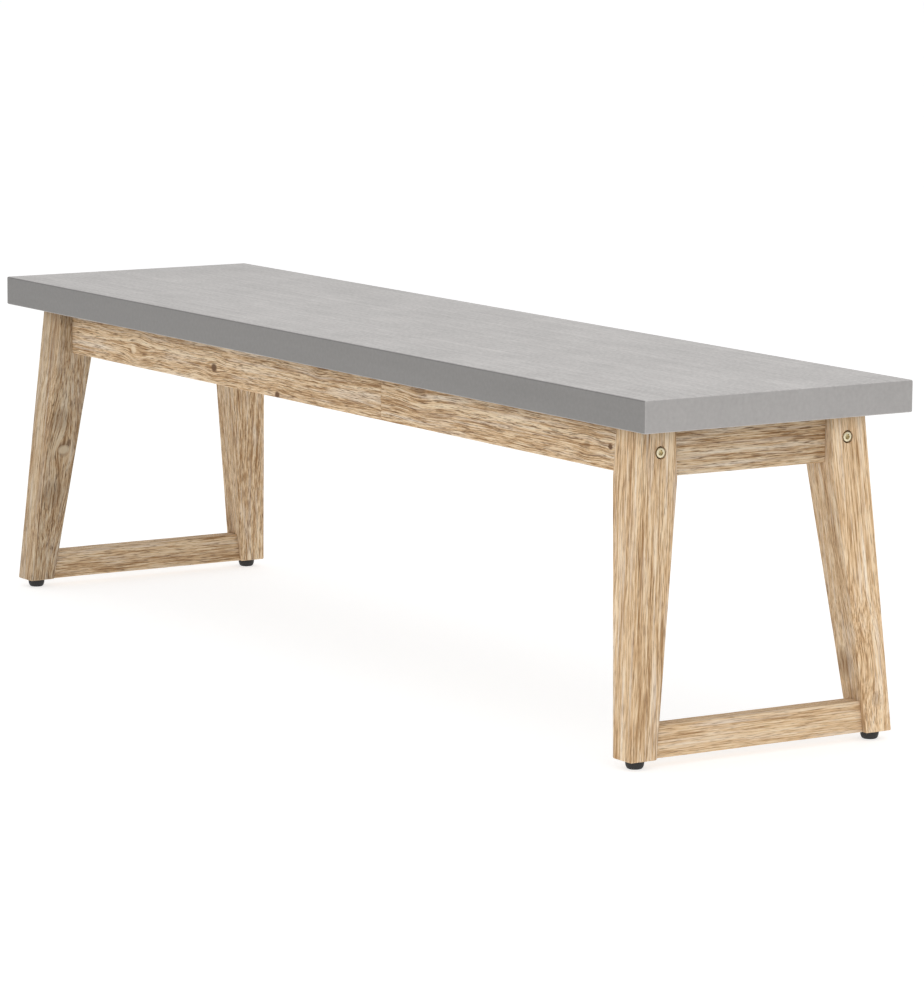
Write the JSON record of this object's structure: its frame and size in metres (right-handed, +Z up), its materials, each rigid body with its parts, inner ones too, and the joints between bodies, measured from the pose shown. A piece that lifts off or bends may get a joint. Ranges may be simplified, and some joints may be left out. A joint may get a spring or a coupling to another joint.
{
  "type": "garden bench",
  "caption": "Backless garden bench: a hollow fibre-cement seat slab on a bolted hardwood frame with splayed, tapered legs, low stretchers and rubber feet.",
  "frame": {"origin": "on the ground, under the middle of the seat", "axes": "+X along the bench towards the right end seen from the front, +Y from front to back, +Z up"},
  "size_m": [1.6, 0.4, 0.45],
  "materials": {
    "fibre_cement": "matt, cast and ground smooth",
    "acacia": "brushed and whitewashed, open grain",
    "dowel_beech": "plain turned dowel",
    "yellow_zinc": "yellow zinc plated",
    "zinc_steel": "bright zinc plated",
    "foot_rubber": "matt black moulded rubber"
  },
  "bodies": {
    "root": {"slab": "fibre_cement", "front_apron": "acacia", "rear_apron": "acacia", "left_end_rail": "acacia", "right_end_rail": "acacia", "left_cross_rail": "acacia", "right_cross_rail": "acacia", "front_left_leg": "acacia", "front_right_leg": "acacia", "rear_left_leg": "acacia", "rear_right_leg": "acacia", "left_stretcher": "acacia", "right_stretcher": "acacia", "leg_bolts": "yellow_zinc", "leg_bolt_washers": "yellow_zinc", "barrel_nuts": "zinc_steel", "apron_dowels": "dowel_beech", "end_rail_dowels": "dowel_beech", "cross_rail_dowels": "dowel_beech", "stretcher_dowels": "dowel_beech", "slab_screws": "zinc_steel", "slab_screw_washers": "zinc_steel", "slab_inserts": "yellow_zinc", "front_left_foot": "foot_rubber", "front_right_foot": "foot_rubber", "rear_left_foot": "foot_rubber", "rear_right_foot": "foot_rubber", "foot_washers": "zinc_steel", "foot_screws": "zinc_steel"}
  },
  "joints": []
}
